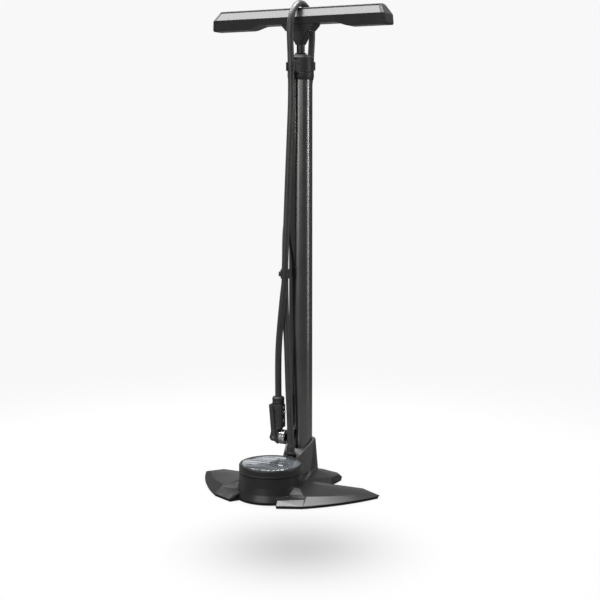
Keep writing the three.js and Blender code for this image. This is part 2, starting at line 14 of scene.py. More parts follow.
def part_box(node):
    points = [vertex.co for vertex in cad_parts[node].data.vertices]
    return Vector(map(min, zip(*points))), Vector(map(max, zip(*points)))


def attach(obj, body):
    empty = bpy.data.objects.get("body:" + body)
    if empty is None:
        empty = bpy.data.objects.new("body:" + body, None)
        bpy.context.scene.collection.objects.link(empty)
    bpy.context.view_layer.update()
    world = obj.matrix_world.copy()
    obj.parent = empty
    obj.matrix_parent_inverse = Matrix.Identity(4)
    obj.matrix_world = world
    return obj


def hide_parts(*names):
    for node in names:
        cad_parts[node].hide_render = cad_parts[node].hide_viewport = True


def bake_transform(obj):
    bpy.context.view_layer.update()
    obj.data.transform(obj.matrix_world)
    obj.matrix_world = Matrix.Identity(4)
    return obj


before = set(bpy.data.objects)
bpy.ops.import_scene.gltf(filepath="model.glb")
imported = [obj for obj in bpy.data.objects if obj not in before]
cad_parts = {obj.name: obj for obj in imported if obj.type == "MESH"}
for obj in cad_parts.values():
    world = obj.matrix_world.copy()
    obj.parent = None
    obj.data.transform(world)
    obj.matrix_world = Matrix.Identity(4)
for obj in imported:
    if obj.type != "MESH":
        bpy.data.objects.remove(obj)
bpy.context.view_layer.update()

# -------- driving dimensions, in millimetres
MM = 0.001
barrel_low, barrel_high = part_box("barrel_tube")
AXIS = Vector(((barrel_low.x + barrel_high.x) / 2, (barrel_low.y + barrel_high.y) / 2, 0))
BARREL_RADIUS = 16.85
BARREL_BORE = 15.25  # its radius
BARREL_BOTTOM = 20.3
BARREL_TOP = 607
CAP_RADIUS = 18.9
CAP_BOTTOM = 582.3
CAP_TOP = 617.8
CLIP_LOW = {"front": 594, "rear": 597.6}
CLIP_HEIGHT = 11.8
HANDLE_HALF = 137.8
HANDLE_TOP = 683.5
GRIP_BOTTOM = 654.7
WAIST_BOTTOM = 660.5
END_LENGTH = 5  # of the handle's end pieces
GAUGE_Y = -90.6
GAUGE_RADIUS = 45.1
POD_TOP = 35
BEZEL_TOP = 48
HOSE_RADIUS = 4.7
HOSE_JOINT = 601
PORT_Y = -32
REAR_HOSE_Y = 31.5
FRONT_HOSE_Y = -30.2
UNDERSIDE = 3.2
TOWER_TOP = 63
CHUCK = Vector((-20.3, -31.2, 70.5))  # where the pump head's axis meets its nozzle's axis
HEAD = Matrix.Translation(CHUCK)
LEVER_PIVOT = -3.6  # from the head's axis
NOZZLE_START = 4.1  # where the nozzle ring starts, from the head's axis
BEVEL_SEGMENTS = 3
SHARP = math.radians(35)  # a piece without a bevel keeps edges sharper than this


def at(x, y, z):
    """A place in the frame, from millimetres measured from the foot of the barrel's axis."""
    return Vector((x, y, z)) * MM + AXIS


# -------- meshes
def link(name, data):
    made = bpy.data.objects.new(name, data)
    bpy.context.scene.collection.objects.link(made)
    return made


def mesh_of(build, flat=None, merge=1e-6):
    """A tidy mesh from a bmesh: doubles merged, flat neighbours joined if asked, all faces outwards."""
    bmesh.ops.remove_doubles(build, verts=build.verts, dist=merge)
    if flat:
        bmesh.ops.dissolve_limit(
            build, angle_limit=math.radians(flat), verts=build.verts, edges=build.edges
        )
    bmesh.ops.recalc_face_normals(build, faces=build.faces)
    mesh = bpy.data.meshes.new("shape")
    build.to_mesh(mesh)
    build.free()
    return mesh


def solid(points, faces, place=None, merge=1e-6):
    """A mesh from points in millimetres; place is a 4x4 in millimetres that they are moved by first."""
    build = bmesh.new()
    place = place or Matrix.Identity(4)
    verts = [build.verts.new(at(*(place @ Vector(p)))) for p in points]
    for face in faces:
        build.faces.new([verts[i] for i in face])
    return mesh_of(build, merge=merge)


def hull(points, place=None):
    build = bmesh.new()
    place = place or Matrix.Identity(4)
    for p in points:
        build.verts.new(at(*(place @ Vector(p))))
    made = bmesh.ops.convex_hull(build, input=build.verts)
    spare = {v for v in made["geom_unused"] + made["geom_interior"] if isinstance(v, bmesh.types.BMVert)}
    bmesh.ops.delete(build, geom=list(spare), context="VERTS")
    return mesh_of(build, flat=0.4, merge=1e-5)


def fillet(points, radius, steps=4):
    """A closed outline with its corners rounded; a third number on a corner is its own radius."""
    result = []
    for i, corner in enumerate(points):
        here = Vector(corner[:2])
        own = corner[2] if len(corner) > 2 else radius
        before = Vector(points[i - 1][:2]) - here
        after = Vector(points[(i + 1) % len(points)][:2]) - here
        if own <= 0 or before.length < 1e-6 or after.length < 1e-6:
            result.append(here)
            continue
        half = before.angle(after) / 2
        reach = min(own / math.tan(half), 0.45 * before.length, 0.45 * after.length)
        start, end = here + before.normalized() * reach, here + after.normalized() * reach
        for step in range(steps + 1):
            s = step / steps
            result.append((1 - s) ** 2 * start + 2 * s * (1 - s) * here + s * s * end)
    return result


def lathe(profile, sides=96, radius=0.4, place=None):
    """A closed profile of (radius, height) corners turned about Z. Corners on the axis stay sharp."""
    corners = [(*p[:2], 0) if p[0] == 0 else p for p in profile]
    outline = fillet(corners, radius)
    count = len(outline)
    points = []
    for side in range(sides):
        angle = 2 * math.pi * side / sides
        points += [(r * math.cos(angle), r * math.sin(angle), z) for r, z in outline]
    faces = []
    for side in range(sides):
        other = (side + 1) % sides
        for i in range(count):
            j = (i + 1) % count
            if outline[i][0] == 0 and outline[j][0] == 0:
                continue
            corner = [side * count + i, other * count + i, other * count + j, side * count + j]
            if outline[i][0] == 0:
                corner = [side * count + i, other * count + j, side * count + j]
            elif outline[j][0] == 0:
                corner = [side * count + i, other * count + i, side * count + j]
            faces.append(corner)
    return solid(points, faces, place, merge=2e-6)


def prism(outline, low, high, place=None):
    """An outline in X and Y made into a plate between two heights."""
    count = len(outline)
    points = [(x, y, z) for z in (low, high) for x, y in outline]
    faces = [tuple(range(count)), tuple(range(count, 2 * count))]
    faces += [(i, (i + 1) % count, count + (i + 1) % count, count + i) for i in range(count)]
    return solid(points, faces, place, merge=1e-5)


def slab(outline, front, back):
    """An outline in X and Z on the pump head, made into a slab between two places along Y."""
    return prism(outline, -back, -front, HEAD @ Matrix.Rotation(math.pi / 2, 4, "X"))


def ring_points(radius, x, y, sides):
    """Points round a circle about (x, y)."""
    return [
        (x + radius * math.cos(2 * math.pi * i / sides), y + radius * math.sin(2 * math.pi * i / sides))
        for i in range(sides)
    ]


def rod(radius, start, end, sides=48):
    """A plain round bar between two points: a tool for cutting holes."""
    start, end = Vector(start), Vector(end)
    along = end - start
    place = Matrix.Translation(start) @ along.to_track_quat("Z", "Y").to_matrix().to_4x4()
    return prism(ring_points(radius, 0, 0, sides), 0, along.length, place)


def boolean(mesh, tools, operation):
    target = link("target", mesh)
    helpers = [link("tool", tool) for tool in tools]
    for helper in helpers:
        step = target.modifiers.new("step", "BOOLEAN")
        step.operation, step.solver, step.object = operation, "EXACT", helper
    bpy.context.view_layer.update()
    graph = bpy.context.evaluated_depsgraph_get()
    made = bpy.data.meshes.new_from_object(target.evaluated_get(graph), depsgraph=graph)
    for spare in [target, *helpers]:
        bpy.data.objects.remove(spare)
    build = bmesh.new()
    build.from_mesh(made)
    return mesh_of(build, flat=0.4, merge=1.5e-5)


def join(*meshes):
    return boolean(meshes[0], meshes[1:], "UNION")


def cut(mesh, *tools):
    return boolean(mesh, tools, "DIFFERENCE")


def both_sides(points):
    """The points and their mirror images across the middle of the pump."""
    return [p for x, *rest in points for p in ((x, *rest), (-x, *rest))]


def mirrored(points):
    return [(-x, *rest) for x, *rest in points]


def on_side(points, side):
    """The points as they are for side 1, the right, or mirrored to the left."""
    return points if side > 0 else mirrored(points)


def on_x(start, height=0):
    """Turns a shape made about Z to point along X, from start and that high above the nozzle's axis."""
    turn = Matrix.Rotation(math.pi / 2, 4, "Y")
    return Matrix.Translation(CHUCK + Vector((start, 0, 0))) @ turn @ Matrix.Translation((-height, 0, 0))


def piece(name, mesh, finish, body, replaced=(), bevel=0.0, limit=30):
    """A finished piece riding on its body. Edges over limit degrees are rounded by bevel millimetres."""
    mesh.name = name
    mesh.materials.clear()
    mesh.materials.append(finish)
    mesh.polygons.foreach_set("use_smooth", [True] * len(mesh.polygons))
    if not bevel:
        mesh.set_sharp_from_angle(angle=SHARP)
    made = link(name, mesh)
    if bevel:
        edge = made.modifiers.new("rounded edges", "BEVEL")
        edge.width, edge.segments = bevel * MM, BEVEL_SEGMENTS
        edge.limit_method, edge.angle_limit = "ANGLE", math.radians(limit)
        edge.use_clamp_overlap = True
        edge.miter_outer = "MITER_ARC"
    normals = made.modifiers.new("flat faces", "WEIGHTED_NORMAL")
    normals.weight = 60
    normals.keep_sharp = True
    if body:
        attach(made, body)
    if replaced:
        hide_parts(*replaced)
    return made


# -------- camera
CAMERA_TURN = math.radians(27.2)  # from straight in front towards the pump's right
CAMERA_DISTANCE = 1771.2
CAMERA_HEIGHT = 492.5
CAMERA_TILT = math.radians(5.62)
CAMERA_LENS = 73.9
CAMERA_SHIFT = (-0.0012, -0.0588)

camera = link("camera", bpy.data.cameras.new("camera"))
camera.data.sensor_width = 36
camera.data.lens = CAMERA_LENS
camera.data.shift_x, camera.data.shift_y = CAMERA_SHIFT
camera.data.clip_start, camera.data.clip_end = 0.05, 50
camera.location = at(
    CAMERA_DISTANCE * math.sin(CAMERA_TURN), -CAMERA_DISTANCE * math.cos(CAMERA_TURN), CAMERA_HEIGHT
)
camera.rotation_euler = (math.pi / 2 - CAMERA_TILT, 0, CAMERA_TURN)
bpy.context.scene.camera = camera
bpy.context.scene.view_settings.view_transform = "Standard"


# -------- materials
MIX_SHARE, MIX_FIRST, MIX_SECOND, MIX_RESULT = 0, 6, 7, 2  # sockets of the colour mix node
WEAR_START, WEAR_FULL = 0.524, 0.596  # how pointed an edge is where its wear starts and where it is full


class Graph:
    """Short ways to add shader nodes to a node tree."""

    def __init__(self, tree):
        self.tree = tree

    def node(self, kind, inputs=None, **settings):
        """A node with these settings. Each input is a value, or a socket to link to it."""
        made = self.tree.nodes.new("ShaderNode" + kind)
        for name, value in settings.items():
            setattr(made, name, value)
        for name, value in (inputs or {}).items():
            if isinstance(value, bpy.types.NodeSocket):
                self.tree.links.new(value, made.inputs[name])
            else:
                made.inputs[name].default_value = value
        return made

    def calculate(self, operation, *values, **settings):
        return self.node("Math", dict(enumerate(values)), operation=operation, **settings).outputs[0]

    def between(self, value, from_low, from_high, to_low, to_high, **settings):
        """The value carried from one range to another, and kept inside it."""
        inputs = {
            "Value": value, "From Min": from_low, "From Max": from_high, "To Min": to_low, "To Max": to_high,
        }
        return self.node("MapRange", inputs, clamp=True, **settings).outputs[0]

    def mix(self, share, first, second):
        """A colour between two others."""
        inputs = {MIX_SHARE: share, MIX_FIRST: first, MIX_SECOND: second}
        return self.node("Mix", inputs, data_type="RGBA").outputs[MIX_RESULT]

    def layer(self, share, first, second):
        """A shader between two others."""
        return self.node("MixShader", {0: share, 1: first, 2: second}).outputs[0]


def empty_material(name):
    """A material without nodes, and the graph to build it with."""
    material = bpy.data.materials.new(name)
    material.use_nodes = True
    material.node_tree.nodes.clear()
    return material, Graph(material.node_tree)


class Finish(Graph):
    """A node material about one Principled shader, in the object's own coordinates."""

    def __init__(self, name, colour, roughness, metallic=0.0, specular=0.5):
        self.material = bpy.data.materials.new(name)
        self.material.use_nodes = True
        super().__init__(self.material.node_tree)
        self.shader = self.tree.nodes["Principled BSDF"]
        self.set("Base Color", (*colour, 1))
        self.set("Roughness", roughness)
        self.set("Metallic", metallic)
        self.set("Specular IOR Level", specular)
        self.colour, self.roughness = colour, roughness
        self.place = self.node("TexCoord").outputs["Object"]

    def set(self, name, value):
        self.shader.inputs[name].default_value = value

    def feed(self, name, socket):
        self.tree.links.new(socket, self.shader.inputs[name])

    def noise(self, size, detail, stretch=(1, 1, 1)):
        """Noise whose grains are about size millimetres wide."""
        place = self.node("Mapping", {"Vector": self.place, "Scale": stretch}).outputs[0]
        inputs = {"Vector": place, "Scale": 1 / (size * MM), "Detail": detail}
        return self.node("TexNoise", inputs).outputs["Fac"]

    def bump(self, height, depth, strength, normal=None):
        """A bump of that depth in millimetres, on top of another if one is given."""
        inputs = {"Height": height, "Distance": depth * MM, "Strength": strength}
        if normal:
            inputs["Normal"] = normal
        return self.node("Bump", inputs).outputs[0]

    def worn_edges(self, colour, amount):
        """A socket for the colour, lightened along sharp outer edges and broken up by noise."""
        edge = self.node("NewGeometry").outputs["Pointiness"]
        edge = self.between(edge, WEAR_START, WEAR_FULL, 0, amount)
        patchy = self.between(self.noise(3.5, 4), 0.35, 0.7, 0.2, 1)
        lighter = tuple(min(1.0, c * 3.2 + 0.02) for c in self.colour)
        return self.mix(self.calculate("MULTIPLY", edge, patchy), colour, (*lighter, 1))

    def uneven(self, amount=0.12, size=24):
        """Colour and gloss that vary a little from place to place."""
        cloud = self.noise(size, 4)
        dark = tuple(c * (1 - amount) for c in self.colour)
        light = tuple(c * (1 + amount) for c in self.colour)
        self.feed("Roughness", self.between(
            cloud, 0.3, 0.7, self.roughness * (1 - amount / 2), min(1, self.roughness * (1 + amount)),
        ))
        return self.mix(self.between(cloud, 0.25, 0.75, 0, 1), (*dark, 1), (*light, 1))


def moulded(name, colour, roughness, grain=0.5, depth=0.02, wear=0.25, specular=0.5):
    """Moulded plastic or paint: a spark-eroded grain, uneven gloss and slightly worn edges."""
    finish = Finish(name, colour, roughness, specular=specular)
    finish.feed("Base Color", finish.worn_edges(finish.uneven(), wear))
    coarse = finish.bump(finish.noise(grain * 6, 2), depth * 0.6, 0.35)
    finish.feed("Normal", finish.bump(finish.noise(grain, 2), depth, 0.8, coarse))
    return finish.material


def turned_metal(name, colour, roughness, stretch=(1, 1, 0.03), grain=0.25, depth=0.004):
    """Drawn or turned metal, with fine lines one way unless depth is 0."""
    finish = Finish(name, colour, roughness, metallic=1.0)
    finish.feed("Base Color", finish.worn_edges(finish.uneven(0.08, 30), 0.2))
    if depth:
        finish.feed("Normal", finish.bump(finish.noise(grain, 4, stretch), depth, 0.7))
    return finish.material


def rubber(name, colour, roughness, sheen=0.0):
    finish = Finish(name, colour, roughness, specular=0.45)
    finish.set("Sheen Weight", sheen)
    finish.feed("Base Color", finish.uneven(0.18, 12))
    finish.feed("Normal", finish.bump(finish.noise(0.9, 3), 0.012, 0.8))
    return finish.material


def lens_glass():
    """A clear lens, dusty and wiped in streaks, that mirrors the sky at a low angle."""
    material, lens = empty_material("lens_glass")
    wiped = lens.node("Mapping", {
        "Vector": lens.node("TexCoord").outputs["Object"],
        "Rotation": (0, 0, math.radians(-25)),
        "Scale": (18, 330, 1),
    })
    streaks = lens.node("TexNoise", {"Vector": wiped.outputs[0], "Scale": 1, "Detail": 3}).outputs["Fac"]
    tone = lens.mix(lens.between(streaks, 0.38, 0.6, 0, 1), (0.2, 0.21, 0.22, 1), (0.95, 0.97, 1, 1))
    mirror = lens.node("BsdfGlossy", {"Color": tone, "Roughness": lens.between(streaks, 0, 1, 0.03, 0.12)})
    clear = lens.node("BsdfTransparent", {"Color": (0.9, 0.94, 0.96, 1)})
    haze = lens.node("BsdfDiffuse", {"Color": (0.78, 0.84, 0.9, 1)})
    dusty = lens.layer(lens.between(streaks, 0.35, 0.65, 0.04, 0.22), clear.outputs[0], haze.outputs[0])
    fresnel = lens.node("Fresnel", {"IOR": 1.5}).outputs[0]
    gleam = lens.calculate("MULTIPLY", fresnel, 2.1, use_clamp=True)
    lens.node("OutputMaterial", {"Surface": lens.layer(gleam, dusty, mirror.outputs[0])})
    return material


BLACK = (0.028, 0.0275, 0.027)
base_nylon = moulded("base_nylon", (0.015, 0.015, 0.0155), 0.31, grain=0.6, depth=0.006, wear=0.2)
pad_rubber = rubber("pad_rubber", (0.005, 0.005, 0.005), 0.75)
barrel_finish = turned_metal("barrel_anodised", (0.215, 0.212, 0.206), 0.25, depth=0)
moulding = moulded("moulding", BLACK, 0.42, grain=0.45, depth=0.01)
handle_satin = moulded(
    "handle_satin", (0.027, 0.027, 0.028), 0.27, grain=0.3, depth=0.0002, wear=0.2, specular=0.8,
)
handle_end = moulded("handle_end", BLACK, 0.55, grain=0.7, depth=0.03)
chuck_plastic = moulded("chuck_plastic", (0.04, 0.04, 0.0402), 0.42, grain=1.1, depth=0.03)
bezel_plastic = moulded("bezel_plastic", (0.018, 0.018, 0.0182), 0.3, grain=0.4, depth=0.004)
hose_rubber = rubber("hose_rubber", (0.045, 0.045, 0.0455), 0.32, sheen=0.1)
seal_rubber = rubber("seal_rubber", (0.008, 0.008, 0.008), 0.6)
rod_metal = turned_metal("rod_metal", (0.06, 0.06, 0.062), 0.3)
plain_steel = turned_metal("plain_steel", (0.42, 0.42, 0.43), 0.32, stretch=(1, 1, 1), grain=0.4)
polished = turned_metal("polished", (0.78, 0.78, 0.79), 0.14, stretch=(0.05, 1, 1), grain=0.3, depth=0.002)
brass = turned_metal("brass", (0.55, 0.4, 0.17), 0.3, stretch=(1, 1, 0.2))
dial_face = moulded("dial_face", (0.02, 0.02, 0.021), 0.55, grain=0.3, depth=0.002, wear=0)
dial_print = moulded("dial_print", (0.72, 0.72, 0.7), 0.5, grain=0.3, depth=0.001, wear=0)
dial_red = moulded("dial_red", (0.5, 0.07, 0.03), 0.45, grain=0.3, depth=0.001, wear=0)
glass = lens_glass()

# -------- hose
RISER = [
    (0, PORT_Y, 46.3), (-0.2, -32.2, 74), (-1.6, -31.9, 108), (-3.8, -30.7, 140), (-7.1, -28.2, 198),
    (-10.8, -25.8, 247), (-12.3, -24.8, 286), (-12.4, -24.7, 312), (-14.4, -20.6, 332), (-18.4, -12.4, 353),
    (-21.6, -4, 372), (-21.9, 5.5, 392), (-18.6, 13.8, 413), (-13, 21.4, 437), (-8.6, 26.8, 469),
    (-5.2, 29.8, 511), (-3.4, 30.4, 557), (-2, 30.8, 575), (-0.6, 31.2, 589), (0, REAR_HOSE_Y, HOSE_JOINT),
]
LOOP_REAR, LOOP_FRONT = 35.4, -32.6  # the widest places of the loop over the handle
LOOP_SHOULDER, LOOP_CREST = 651, 690
LOOP_STEPS = 8
LOOP_MIDDLE, LOOP_HALF = (LOOP_REAR + LOOP_FRONT) / 2, (LOOP_REAR - LOOP_FRONT) / 2
LOOP = [(0, 32.2, 617), (0, 34.3, 634)] + [
    (
        0,
        LOOP_MIDDLE + LOOP_HALF * math.cos(math.pi * step / LOOP_STEPS),
        LOOP_SHOULDER + (LOOP_CREST - LOOP_SHOULDER) * math.sin(math.pi * step / LOOP_STEPS),
    )
    for step in range(LOOP_STEPS + 1)
] + [(0, -32, 634), (0, -30.7, 617)]
DROP = [
    (0, FRONT_HOSE_Y, HOSE_JOINT), (0, -29, 575), (0, -29.6, 549), (-0.4, -31.2, 519), (-3.2, -32.4, 445),
    (-5.7, -33.2, 376), (-6.8, -33.9, 341), (-7.6, -34.2, 317), (-7.8, -34.2, 300), (-11.2, -35, 268),
    (-16.7, -34.5, 217), (-18.9, -33.2, 192), (-20.1, -31.8, 164), (CHUCK.x, CHUCK.y, 143),
    (CHUCK.x, CHUCK.y, 120.2),
]


def smooth_route(points, spacing):
    """A centripetal Catmull-Rom curve through the points, as points about spacing apart."""
    points = [Vector(p) for p in points]
    points = [2 * points[0] - points[1], *points, 2 * points[-1] - points[-2]]
    route = []
    for a, b, c, d in zip(points, points[1:], points[2:], points[3:]):
        knots = [0.0]
        for p, q in ((a, b), (b, c), (c, d)):
            knots.append(knots[-1] + math.sqrt((q - p).length))
        t0, t1, t2, t3 = knots
        steps = max(2, round((c - b).length / spacing))
        for step in range(steps):
            t = t1 + (t2 - t1) * step / steps
            ab = a.lerp(b, (t - t0) / (t1 - t0))
            bc = b.lerp(c, (t - t1) / (t2 - t1))
            cd = c.lerp(d, (t - t2) / (t3 - t2))
            first = ab.lerp(bc, (t - t0) / (t2 - t0))
            second = bc.lerp(cd, (t - t1) / (t3 - t1))
            route.append(first.lerp(second, (t - t1) / (t2 - t1)))
    return [*route, points[-2]]


def tube(route, radius, sides):
    """A round tube with closed ends along a route, without twist."""
    tangents = [(b - a).normalized() for a, b in zip(route, route[1:])]
    tangents = [tangents[0]] + [(a + b).normalized() for a, b in zip(tangents, tangents[1:])] + [tangents[-1]]
    across = tangents[0].orthogonal().normalized()
    points, faces = [], []
    for centre, ahead in zip(route, tangents):
        across = (across - ahead * across.dot(ahead)).normalized()
        beside = ahead.cross(across)
        for side in range(sides):
            angle = 2 * math.pi * side / sides
            points.append(centre + (across * math.cos(angle) + beside * math.sin(angle)) * radius)
    for ring in range(len(route) - 1):
        for side in range(sides):
            other = (side + 1) % sides
            a, b = ring * sides, (ring + 1) * sides
            faces.append((a + side, a + other, b + other, b + side))
    last = (len(route) - 1) * sides
    faces += [tuple(range(sides)), tuple(range(last, last + sides))]
    return solid(points, faces)


HOSE_SPACING, HOSE_SIDES = 2.2, 28
hose_route = smooth_route(RISER + LOOP + DROP, HOSE_SPACING)
hose_length = sum((b - a).length for a, b in zip(hose_route, hose_route[1:])) * MM
hose = piece(
    "hose", tube(hose_route, HOSE_RADIUS, HOSE_SIDES), hose_rubber, None,
    ("hose_riser", "hose_loop", "hose_drop"),
)


# -------- base
BOW_STEPS = 8


def bowed(start, end, rise):
    """Points on a shallow arc from start to end that bulges to its right by rise."""
    start, end = Vector(start), Vector(end)
    out = Vector((end.y - start.y, start.x - end.x)).normalized()
    shares = [step / BOW_STEPS for step in range(BOW_STEPS + 1)]
    return [tuple(start.lerp(end, share) + out * rise * 4 * share * (1 - share)) for share in shares]


SHOULDER = (70, -129)
WING_TIP = (140.2, -36.5)
FRONT_EDGE = bowed(SHOULDER, WING_TIP, 6.2)
TIP_ROUND = [(141, -34.6), (140.6, -33)]
WING_HEEL = (116.5, -25.6)
NOTCH = (59.5, -58.9)
LIP_END = (36.6, -144.2)
RIM = UNDERSIDE + 1.1
ON_POD = Matrix.Translation((0, GAUGE_Y, 0))
FOOT_SCREWS = {"nose": (0, -128), "right": (92, -63), "left": (-92, -63), "rear": (0, 27.5)}


def mound(foot_print, upper, side=1):
    """A convex part of the base: foot print, low upright rim, and the points of its upper side."""
    points = [(x, y, z) for x, y in foot_print for z in (UNDERSIDE, RIM)] + list(upper)
    return hull(on_side(points, side))


def wing(side):
    """A foot wing: a low ridge along its front, and a flat top that falls towards its tip."""
    bevel_line = bowed((66, -110), (130.6, -38.6), 5)
    crest = [(x, y, 12.4 - 4.8 * i / BOW_STEPS) for i, (x, y) in enumerate(bevel_line)]
    upper = crest + [(113.4, -29.6, 10), (58.5, -62, 17), (24, -64, 20.5), (24, -104, 17.5)]
    foot_print = [(24, -112), *FRONT_EDGE, *TIP_ROUND, WING_HEEL, NOTCH, (24, -60)]
    return mound(foot_print, upper, side)


def front_lip(side):
    """The bevelled front beside the gauge pod, ending in a small facet that faces the pod."""
    foot_print = [LIP_END, SHOULDER, (50, -70), (20, -90), (27, -124)]
    upper = [(34.6, -136.4, 9.4), (65.6, -118.6, 10.2), (46, -78, 13.4), (20, -90, 14), (28.6, -130.4, 9.8)]
    return mound(foot_print, upper, side)


def pod_web(side):
    """The small slanting facet where the wing runs up to the gauge pod."""
    points = [
        (60, -108.5, 12.6), (41, -113, 13), (50, -100, 18.4), (36, -104, 22.5), (30, -92, 22),
        (44, -84, 18), (30, -92, 8), (56, -100, 8),
    ]
    return hull(on_side(points, side))


def tail():
    """The rear foot."""
    foot_print = both_sides([(53.7, -7.3), (55, 10), (54.8, 26), (52.2, 31.5), (46.5, 34.8), (30, -56)])
    upper = both_sides([
        (50.5, -4, 11), (51.6, 12, 10.2), (51.2, 24.6, 9.4), (44.6, 32, 9.2), (20, 32.6, 11.8), (24, -48, 17),
        (20, 4, 19),
    ])
    return mound(foot_print, upper)


def tower():
    """The socket that holds the barrel: round behind, with a slope down to the gauge pod in front."""
    rear = [
        (r * math.cos(math.pi * i / 16), r * math.sin(math.pi * i / 16), z)
        for i in range(17) for r, z in ((20.6, TOWER_TOP), (21.5, TOWER_TOP - 0.5), (22, TOWER_TOP - 1.8))
    ]
    slope = both_sides([(20, -2.9, 60.6), (17.4, -11.6, 54.6), (11.6, -31.9, 42.4), (9, -41, 35)])
    foot = [(x, y, 8) for x, y in ring_points(26.4, 0, 0, 32)[:17]]
    return hull(rear + slope + foot + both_sides([(25.4, -24, 8), (13, -50, 8)]))


def gusset(side):
    """The rib between the tower and the wing."""
    points = [
        (20, 5, 27), (24, 4, 26), (29, -46, 15), (33.4, -46, 14.2),
        (18, 8, 5), (28, 8, 5), (28, -48, 5), (35.4, -48, 5),
    ]
    return hull(on_side(points, side))


def pod():
    """The round housing of the gauge, open at the top."""
    return lathe([
        (0, UNDERSIDE), (50.3, UNDERSIDE, 0.6), (50.3, 4.4, 1), (46.4, 12, 6), (44.9, 22, 0),
        (44.6, POD_TOP, 0.5), (40.5, POD_TOP, 0), (40.5, 19, 0), (0, 19),
    ], 112, 0.4, ON_POD)


def shoulder_groove(side):
    """A narrow groove between the front lip and the wing's bevel."""
    foot, inner = Vector((70.8, -131, 6.5)), Vector((61, -106, 14.4))
    out = Vector((0.92, 0.39, 0)) * 0.85
    points = []
    for end in (foot, inner):
        for shift in (-out, out):
            points += [end + shift + Vector((0, 0, 9)), end + shift * 0.25 + Vector((0, 0, -2.4))]
    return hull(on_side(points, side))


def base_mesh():
    pairs = [part(side) for part in (front_lip, wing, pod_web) for side in (1, -1)]
    body = join(pod(), *pairs, tail(), tower(), gusset(1), gusset(-1))
    hollows = [
        rod(BARREL_RADIUS + 0.3, (0, 0, 20), (0, 0, 90), 96),
        rod(7.8, (0, PORT_Y, 42), (0, PORT_Y, 90)),
        rod(5.3, (0, PORT_Y, 28), (0, PORT_Y, 60)),
        shoulder_groove(1),
        shoulder_groove(-1),
    ]
    hollows += [rod(4.1, (x, y, 0), (x, y, 5.2)) for x, y in FOOT_SCREWS.values()]
    return cut(body, *hollows)


piece(
    "base_shell", base_mesh(), base_nylon, "pump_body", ("base_casting",), bevel=0.55, limit=5,
)


def pad(name, outline):
    """A rubber foot pad with a hole for its screw."""
    x, y = FOOT_SCREWS[name]
    mesh = cut(prism(outline, 0, 3), rod(4.3, (x, y, -1), (x, y, 4)))
    piece(f"sole_{name}", mesh, pad_rubber, "pump_body", (f"foot_pad_{name}",), bevel=0.5)


front_inset = bowed((70.1, -127.2), (138.7, -36.6), 6)
wing_pad = [*front_inset, (139.4, -34.9), (116, -26.6), (62, -58.6), (52, -70), (52, -112.4)]
POD_FOOT = 49.2  # the radius of the nose pad's front
pod_front = [
    (POD_FOOT * math.sin(math.radians(a)), GAUGE_Y - POD_FOOT * math.cos(math.radians(a)))
    for a in range(-35, 36, 5)
]
pad("right", wing_pad)
pad("left", mirrored(wing_pad))
nose_corners = [(36.2, -143.2), (69.8, -128), (44, -106), (-44, -106), (-69.8, -128)]
pad("nose", [(-36.2, -143.2), *pod_front, *nose_corners])
tail_pad = [(52.7, -4), (54, 10), (53.8, 25.7), (51.3, 30.6), (46.1, 33.8)]
pad("rear", [*tail_pad, *mirrored(tail_pad)[::-1], (-30, 10), (30, 10)])

# -------- barrel, cap and clips
SPRING_LOW, SPRING_HIGH = 9.9, 16.7
SPRING_RADIUS, SPRING_WIRE, SPRING_TURNS = 3.4, 0.5, 3
coil = [
    Vector((
        SPRING_RADIUS * math.cos(2 * math.pi * turn),
        SPRING_RADIUS * math.sin(2 * math.pi * turn),
        SPRING_LOW + (SPRING_HIGH - SPRING_LOW) * turn / SPRING_TURNS,
    ))
    for turn in (SPRING_TURNS * step / 72 for step in range(73))
]
valve_spring = piece(
    "valve_spring", tube(coil, SPRING_WIRE, 12), plain_steel, None,
    ("check_valve_spring",),
)
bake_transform(valve_spring)
piece(
    "barrel", lathe([
        (BARREL_BORE, BARREL_BOTTOM), (BARREL_RADIUS, BARREL_BOTTOM), (BARREL_RADIUS, BARREL_TOP),
        (BARREL_BORE, BARREL_TOP),
    ], 128),
    barrel_finish, "pump_body", ("barrel_tube",),
)
piece(
    "cap", lathe([
        (17.15, CAP_BOTTOM), (17.9, CAP_BOTTOM, 0.3), (CAP_RADIUS, CAP_BOTTOM + 4.4, 1.5),
        (CAP_RADIUS, 592, 0.2), (CAP_RADIUS - 0.35, 592.4, 0.1), (CAP_RADIUS - 0.35, 593.2, 0.1),
        (CAP_RADIUS, 593.6, 0.2), (CAP_RADIUS, CAP_TOP - 4.6, 0.6), (CAP_RADIUS - 2.2, CAP_TOP - 1.6, 0.8),
        (14.4, CAP_TOP - 1.2, 0.6), (13.4, CAP_TOP, 0.5), (8.6, CAP_TOP, 0.4), (8.6, 607.3, 0),
        (17.15, 607.3, 0),
    ], 120),
    moulding, "pump_body", ("top_cap",),
)


